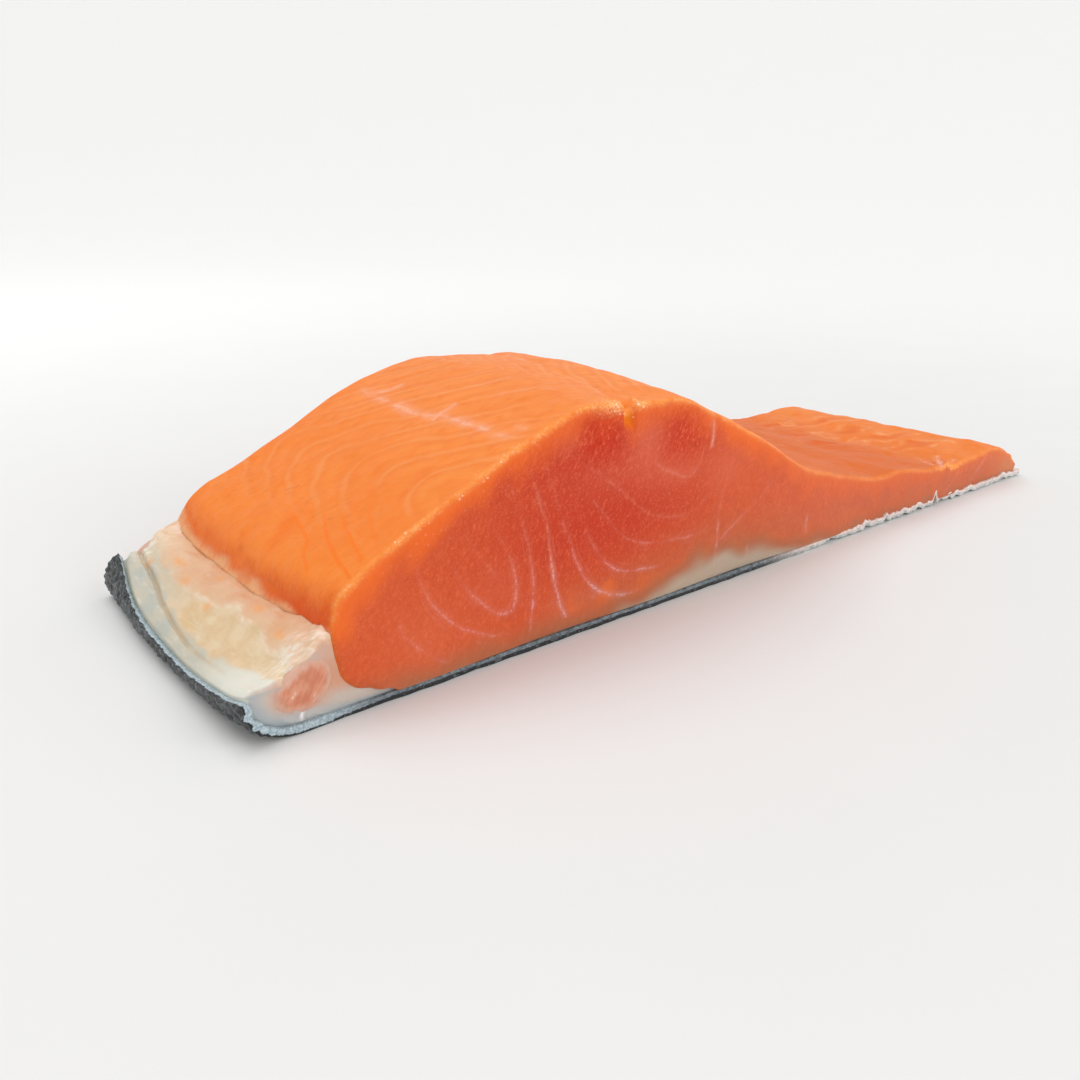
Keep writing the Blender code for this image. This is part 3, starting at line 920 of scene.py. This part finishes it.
def curl_sections(depths, count):
    """The skin's outer face in each section, from its back edge to where it lies flat."""
    leaves, bulge_a, bulge_h, edge_a, edge_h = over_depth(CURL, depths).T
    t = np.linspace(0, 1, count)
    zero = np.zeros_like(leaves)
    corners = [(edge_a, edge_h), (bulge_a, bulge_h),
               (leaves - CURL_TIGHTNESS * (leaves - bulge_a), zero), (leaves, zero)]
    weights = [(1 - t) ** 3, 3 * t * (1 - t) ** 2, 3 * t ** 2 * (1 - t), t ** 3]
    return sum(w[None, :, None] * np.stack([a, h], axis=-1)[:, None, :]
               for (a, h), w in zip(corners, weights))


def inside_of(line, distance):
    """Sections of lines moved sideways, towards the inside of the curl."""
    along = np.gradient(line, axis=1)
    along = along / np.linalg.norm(along, axis=2)[:, :, None]
    distance = np.broadcast_to(distance, line.shape[:2])[:, :, None]
    return line + distance * np.stack([-along[:, :, 1], along[:, :, 0]], axis=-1)


# Single folds of the loose belly skin along the cut: place across, height, width
PLEATS = [(139.3, 0.5, 1.0), (153.3, 0.6, 1.1), (162.3, 0.6, 1.0), (170.0, 0.7, 1.2),
          (176.3, 0.8, 0.9), (184.3, 2.7, 0.7), (187.5, 0.9, 1.3), (203.0, 0.6, 1.4),
          (221.0, 0.5, 1.6)]
SKIN_DEPTHS = [(0.0, 3), (0.5, 12), (6.0, 104), (62.6, 12), (68.1, 3), (68.6, 0)]
SKIN_ACROSS = [(0.0, 52), (0.52, 190), (1.0, 0)]    # shares of the way from the curl to the belly
CURL_POINTS = 44
SCALE_RELIEF = 0.24


def pleats(across):
    """Height of the folds that the loose belly skin lies in, along the cut."""
    folds = 0.35 * np.abs(waves(across, 0, 2.6, 61)) + 0.3 * np.abs(waves(across, 0, 4.5, 62))
    return folds + sum(tall * hump(across, place, wide) for place, tall, wide in PLEATS)


def skin():
    """The skin: flat under the block, curled up along the back, loose along the belly cut."""
    depths = spread_out(SKIN_DEPTHS)
    curl = curl_sections(depths, CURL_POINTS)
    leaves = curl[:, -1, 0]
    flat = leaves[:, None] + (SPAN - leaves)[:, None] * spread_out(SKIN_ACROSS)[1:]
    outer = np.concatenate([curl, np.stack([flat, np.zeros_like(flat)], axis=-1)], axis=1)
    girth = np.cumsum(np.linalg.norm(np.diff(outer, axis=1, prepend=outer[:, :1]), axis=2), 1)
    far = np.broadcast_to(depths[:, None], girth.shape)
    scales = 0.6 * waves(girth, far, 2.4, 51) + 0.5 * waves(girth, far, 1.2, 52)
    rough = scales * rise(0.4, 1.4, outer[:, :, 1])
    thick = SKIN_THICKNESS + 0.15 * waves(girth, far, 3.0, 53) * (outer[:, :, 1] > 0.5)
    inner = inside_of(outer, thick)
    middle = inside_of(outer, SKIN_THICKNESS / 2)
    shell = inside_of(outer, -SCALE_RELIEF * rough)
    outline = np.concatenate([shell, inner[:, ::-1]], axis=1)
    hearts = np.concatenate([middle, middle[:, ::-1]], axis=1)
    block = Block(depths, outline, hearts, radius=0.15, cap_rows=4, spread=1.0)
    across, marks = block.across, block.marks
    cap = (across.shape[0] - len(depths)) // 2
    raised = np.concatenate([rough, 0 * rough], axis=1)
    marks["raised"] = np.pad(raised, ((cap, cap), (0, 0)), mode="edge")
    inner_face = np.hstack([np.zeros(outer.shape[1]), np.ones(outer.shape[1])])
    inward = np.clip(block.inward / (SKIN_THICKNESS / 2), 0, 1)
    # more dark shows on the flat part's cut edge: partly the outer skin, partly painted shade under
    # the flesh
    marks["flat"] = rise(12, 24, across)
    marks["through"] = np.abs(inner_face - 0.5 * inward) - 0.28 * marks["flat"]
    marks["belly"] = rise(112, 136, across)
    block.height = block.height + pleats(across) * block.near_cut(5) * rise(128, 138, across)
    block.sink(-0.3 - 0.12 * waves(across, block.height, 4, 54), 5)
    add_piece("skin_sheet", block, skin_finish(), "skin")


# ---- fat ----

# The strip's top in each section: depth, then (across, height) from the skin to the flesh
STRIP_TOP = [
    (0.0, 1.9, 8.2, 4.2, 8.9, 6.6, 9.2, 8.6, 9.9, 11.0, 11.6, 13.0, 13.8, 15.6, 15.9),
    (8.5, 1.6, 6.2, 4.0, 7.4, 6.2, 7.9, 8.6, 9.2, 10.6, 11.1, 13.0, 12.7, 15.8, 13.9),
    (26.0, 1.6, 4.4, 3.4, 5.6, 5.4, 6.7, 7.6, 8.3, 9.8, 9.9, 12.8, 11.2, 16.5, 11.9),
    (48.0, 2.3, 5.8, 3.8, 6.6, 5.8, 7.2, 7.8, 8.3, 10.2, 9.4, 13.2, 10.4, 17.4, 11.0),
    (61.0, 4.8, 7.2, 6.1, 7.6, 7.8, 7.9, 9.6, 9.0, 11.6, 10.2, 14.3, 11.0, 18.1, 11.6),
    (68.6, 6.6, 7.6, 8.0, 8.3, 9.8, 8.5, 11.2, 10.2, 13.0, 11.6, 15.8, 12.3, 18.8, 13.7)]
STRIP_BEHIND = [(20.5, 9.0), (23.0, 4.5), (29.0, 2.0), (24.0, 1.2), (12.0, 1.2)]
STRIP_HEART = np.array((9.6, 5.6))
STRIP_HEART_DRIFT = 2.4         # how far across the heart has moved at the far cut
INTO_SKIN = 0.15                # how far the fat reaches into the skin, so that no gap shows
# Where the fat gives way to the fin muscle: middle across and up, reach each way
FIN_ROOM = (10.3, 6.8, 4.8, 4.1)
STRIP_DEPTHS = [(0.0, 3), (0.4, 5), (1.3, 34), (10.0, 90), (58.6, 34), (67.3, 5), (68.2, 3),
                (68.6, 0)]
# Where the crease beside the skin runs, as (depth, across)
CREASE = [(0, 3.6), (8.5, 3.2), (23, 3.0), (29, 3.2), (36, 3.8), (44, 4.8), (51, 6.4), (58, 7.3),
          (68.6, 8.9)]
# Where the pale fat beside the skin gives way to the tan valley, and the valley to the ledge
# of pinkish fat beside the flesh, as (depth, across)
VALLEY = [(0, 6.8), (8.5, 5.4), (20, 3.9), (36, 4.4), (44, 5.4), (51, 7.0), (58, 8.0), (68.6, 9.6)]
LEDGE = [(0, 9.4), (9, 9.6), (16, 9.8), (24, 10.2), (35, 9.0), (48, 8.6), (60, 9.8), (68.6, 11.4)]
# Flecks of orange flesh left on the fat: across, depth, reach each way
FLECKS = [(9.3, 44, 0.9, 1.6), (8.6, 32, 0.7, 1.3), (11.3, 52, 0.8, 2.2), (12.6, 20, 0.8, 1.4),
          (11.0, 9, 0.6, 1.8), (13.4, 38, 0.7, 1.0), (8.2, 60, 0.8, 1.0)]
# Drops on the strip's cut: across, height
DROPS = [(8.0, 2.2), (9.3, 1.9), (8.9, 3.0), (10.6, 2.2), (7.0, 2.6), (12.5, 1.9)]


def past_ledge(across, depth):
    """How far a point lies past the ragged ledge of pinkish fat."""
    ragged = 0.5 * waves(across, depth, 9, 43) + 0.14 * waves(across, depth, 2.4, 49)
    return across - at_depth(LEDGE, depth) + ragged


def strip_relief(across, depth):
    """How far the fat's top stands above its plain profile, in millimetres."""
    crease = at_depth(CREASE, depth)
    sharp = rise(14, 34, depth)
    relief = 0.35 * hump(across, crease - 1.6, 1.1) - 0.7 * sharp * hump(across, crease, 0.35)
    relief += 0.25 * sharp * hump(across, crease + 0.8, 0.5)
    relief += 0.8 * hump(across, crease - 0.9, 0.7) * hump(depth, 57, 3.0)
    past = past_ledge(across, depth)
    relief += 0.38 * rise(-0.6, 0.6, past) * (1 - 0.5 * rise(2, 5, past))
    relief -= 0.12 * rise(8, 14, across)
    torn = rise(9, 2, from_cut(depth)) * rise(5, 7, across) * rise(15, 13, across)
    relief += torn * 0.22 * waves(across * 0.35 + depth * 0.2, depth, 1.6, 41)
    relief += 0.10 * waves(across, depth * 0.5, 3.4, 44) + 0.03 * waves(across, depth, 1.1, 45)
    relief += 0.22 * rise(12, 15, across) * waves(across, depth, 9, 57)
    relief -= 1.5 * rise(12, 15.5, across) * rise(2.6, 0, depth)
    return relief


def mark_fat(block, near_fin):
    """The marks that the fat's finish reads."""
    across, depth, height = block.across, block.depth, block.height
    over = rise(6, 8, across) * rise(6, 7.5, height)
    over *= rise(3.0, 1.2, block.inward + 0.6 * waves(across, height, 2.6, 58))
    marks = block.marks
    marks["cut"] = block.cut * (1 - over)
    top = (1 - marks["cut"]) * (height > 3)
    past = past_ledge(across, depth)
    valley = at_depth(VALLEY, depth) + 0.4 * waves(across, depth, 7, 46)
    marks["tan"] = rise(-0.8, 0.8, across - valley) * (0.9 - 0.5 * rise(34, 50, depth))
    marks["pink"] = rise(-0.3, 0.5, past) * (0.7 + 0.3 * rise(0.5, 3, past))
    marks["cream"] = rise(34, 62, depth) * 0.5
    marks["near_front"] = rise(24, 4, depth)
    # painted shadow along the crease, stronger towards the far cut
    crease = hump(across, at_depth(CREASE, depth) + 0.1, 0.3)
    marks["crease"] = crease * top * rise(4, 30, depth)
    # painted highlight along the ledge's edge, fading out towards the far cut
    marks["step"] = 0.45 * hump(past, 0.2, 0.45) * top * rise(50, 36, depth)
    marks["orange"] = np.clip(sum(spot(across, depth, *fleck) for fleck in FLECKS), 0, 1) * top
    root_way = across - 0.6 * rise(30, 66, depth) + 0.3 * waves(across, depth, 4, 47)
    stain = rise(12.0, 15.6, root_way) * (0.3 + 0.2 * rise(4, 20, depth))
    marks["flesh_stain"] = stain * top
    torn = rise(10, 1.5, from_cut(depth)) * rise(5.5, 8, across) * top
    marks["torn"] = torn * (1 - 0.5 * rise(12, 15, across))
    marks["skin_side"] = rise(3.6, 0.6, block.inward) * (height < 8)
    beside_flesh = rise(10.5, 14, across) * rise(3, 6, height)
    marks["near_flesh"] = np.maximum(beside_flesh, 0.7 * near_fin)
    # painted highlight of a drip on the cut, leaning as it runs down
    leaning = across - 0.5 * (height - 2.4)
    marks["painted_drip_glint"] = spot(leaning, height, 9.6, 2.6, 0.3, 0.8) * block.cut


def strip():
    """The strip of fat between the curled skin and the flesh."""
    depths = spread_out(STRIP_DEPTHS)
    tops = over_depth(STRIP_TOP, depths).reshape(len(depths), -1, 2)
    curl = inside_of(curl_sections(depths, 24), SKIN_THICKNESS - INTO_SKIN)
    outline = []
    for place, top, low in zip(depths, tops, curl):
        upper = smooth_line([low[0], *top], 12)
        joined = rise(0, 1.2, upper[:, 0] - low[0, 0])
        upper[:, 1] += joined * strip_relief(upper[:, 0], place)
        hidden = smooth_line([upper[-1], *STRIP_BEHIND, low[-1]], 8)
        outline.append(np.vstack([upper[:-1], hidden[:-1], low[:0:-1]]))
    outline = np.array(outline)[:, ::-1]
    heart = STRIP_HEART + np.zeros_like(outline)
    heart[:, :, 0] += (STRIP_HEART_DRIFT * rise(20, DEPTH, depths))[:, None]
    seam = outline.shape[1] - len(upper)
    radius = 0.3 + 1.3 * rise(seam - 8, seam + 8, np.arange(outline.shape[1]))
    block = Block(depths, outline, heart, radius, cap_rows=16, spread=1.2)
    across, height = block.across, block.height
    middle_a, middle_h, reach_a, reach_h = FIN_ROOM
    off_fin = np.hypot((across - middle_a) / reach_a, (height - middle_h) / reach_h)
    near_fin = rise(1.35, 0.85, off_fin)
    mark_fat(block, near_fin)
    drops = sum(0.5 * spot(across, height, *drop, 0.5, 0.5) for drop in DROPS)
    sunk = 0.45 + 0.05 * waves(across, height, 3.5, 48) + 0.12 * near_fin - drops
    block.sink(sunk, 6)
    add_piece("back_fat", block, fat_finish(), "fat")


# ---- fin muscle ----

FIN_OUTLINE = [(13.8, 10.6), (14.9, 8.9), (14.9, 6.8), (14.1, 4.8), (12.5, 3.2), (10.2, 2.6),
               (7.9, 3.0), (6.2, 4.2), (5.4, 6.0), (6.5, 7.9), (8.6, 9.6), (11.4, 10.9)]
FIN_HEART = np.array((10.4, 6.9))
FIN_DRIFT = np.array((0.8, 0.2))        # how far it has moved at the far cut
FIN_SAG = np.array((0, 1.2))            # and how far down between the cuts, where it is thinner


def fin_muscle():
    """The small rod of muscle that moved the back fin, seen end-on in the cuts."""
    depths = cut_depths(1.2, [0, 0.2, 0.5, 0.9])
    ring = smooth_line(FIN_OUTLINE + FIN_OUTLINE[:1], 7)[:-1]
    drift = FIN_DRIFT * (depths / DEPTH)[:, None]
    heart = FIN_HEART + drift[:, None] + np.zeros((1, len(ring), 1))
    hidden = rise(0.8, 4.0, from_cut(depths))[:, None, None]
    far = rise(DEPTH - 8, DEPTH, depths)[:, None, None]
    size = 1 - 0.5 * hidden - 0.25 * far * (1 - hidden)
    outline = heart + (ring - FIN_HEART) * size - FIN_SAG * hidden
    block = Block(depths, outline, heart, radius=0.25, cap_rows=12, spread=1.0)
    across, height, inward = block.across, block.height, block.inward
    block.marks["edge"] = rise(1.8, 0.2, inward + 0.25 * waves(across, height, 2, 55))
    dome = 0.55 - 0.55 * rise(0, 2.6, inward)
    dome = dome + 0.05 * waves(across, height, 2.2, 56) * rise(0.6, 2, inward)
    block.sink(dome, 4)
    add_piece("fin_rod", block, fin_finish(), "fin_muscle")


# ---- setting ----

FLOOR_SIZE = 6.0
FLOOR_FLAT = 0.8
FLOOR_SWEEP = 4.5
BACKDROP_GLOW = 0.45
ROOM_LIGHT = 0.45
LIGHT_REACH = 0.72              # how far out the lights' brightness on the floor falls away


def floor():
    """A pale floor that sweeps up into a backdrop all round, not part of the fillet."""
    bm = bmesh.new()
    bmesh.ops.create_grid(bm, x_segments=120, y_segments=120, size=FLOOR_SIZE / 2)
    for vertex in bm.verts:
        beyond = max(0.0, vertex.co.xy.length - FLOOR_FLAT)
        vertex.co.z = beyond ** 2 / FLOOR_SWEEP
    mesh = bpy.data.meshes.new("floor")
    bm.to_mesh(mesh)
    bm.free()
    far = np.array([vertex.co.xy.length for vertex in mesh.vertices])
    layer = mesh.attributes.new("backdrop", 'FLOAT', 'POINT')
    layer.data.foreach_set("value", 1 - (1 + (far / LIGHT_REACH) ** 2) ** -2)
    mesh.materials.append(floor_finish())
    mesh.shade_smooth()
    add_object("floor", mesh)


def soft_light(name, place, aim, size, power):
    """A square area light at a place, aimed at a point."""
    data = bpy.data.lights.new(name, 'AREA')
    data.shape = 'SQUARE'
    data.size = size
    data.energy = power
    made = add_object(name, data)
    made.location = place
    made.rotation_mode = 'QUATERNION'
    made.rotation_quaternion = (Vector(aim) - Vector(place)).to_track_quat('-Z', 'Y')


def light_studio():
    """Broad light from above and behind, with a pale room all round."""
    soft_light("overhead", (-0.15, 0.25, 0.75), (0, 0, 0.02), 0.7, 3.3)
    soft_light("front_fill", (0.25, -0.7, 0.45), (0, 0, 0.02), 0.6, 2.2)
    world = bpy.data.worlds.new("pale_room")
    world.use_nodes = True
    world.node_tree.nodes["Background"].inputs["Color"].default_value = (1, 1, 1, 1)
    world.node_tree.nodes["Background"].inputs["Strength"].default_value = ROOM_LIGHT
    bpy.context.scene.world = world
    bpy.context.scene.view_settings.view_transform = 'Standard'


CAMERA_PLACE = (-0.15583, -0.14878, 0.07402)
CAMERA_AZIMUTH = -39.56
CAMERA_ELEVATION = 20.06
CAMERA_ROLL = 0.57
CAMERA_LENS = 31.583            # on a sensor 36 mm wide


def aim_camera():
    """The camera, low and close in front of the back edge."""
    data = bpy.data.cameras.new("camera")
    data.lens = CAMERA_LENS
    data.sensor_width = 36.0
    data.clip_start = 0.005
    camera = add_object("camera", data)
    turn, lift, roll = (math.radians(v) for v in (CAMERA_AZIMUTH, CAMERA_ELEVATION, CAMERA_ROLL))
    back = Vector((math.sin(turn) * math.cos(lift), -math.cos(turn) * math.cos(lift),
                   math.sin(lift)))
    right = Vector((math.cos(turn), math.sin(turn), 0))
    up = back.cross(right)
    axes = Matrix((right * math.cos(roll) + up * math.sin(roll),
                   up * math.cos(roll) - right * math.sin(roll), back)).transposed()
    camera.matrix_world = Matrix.Translation(CAMERA_PLACE) @ axes.to_4x4()
    bpy.context.scene.camera = camera


flesh()
skin()
strip()
fin_muscle()
floor()
light_studio()
aim_camera()
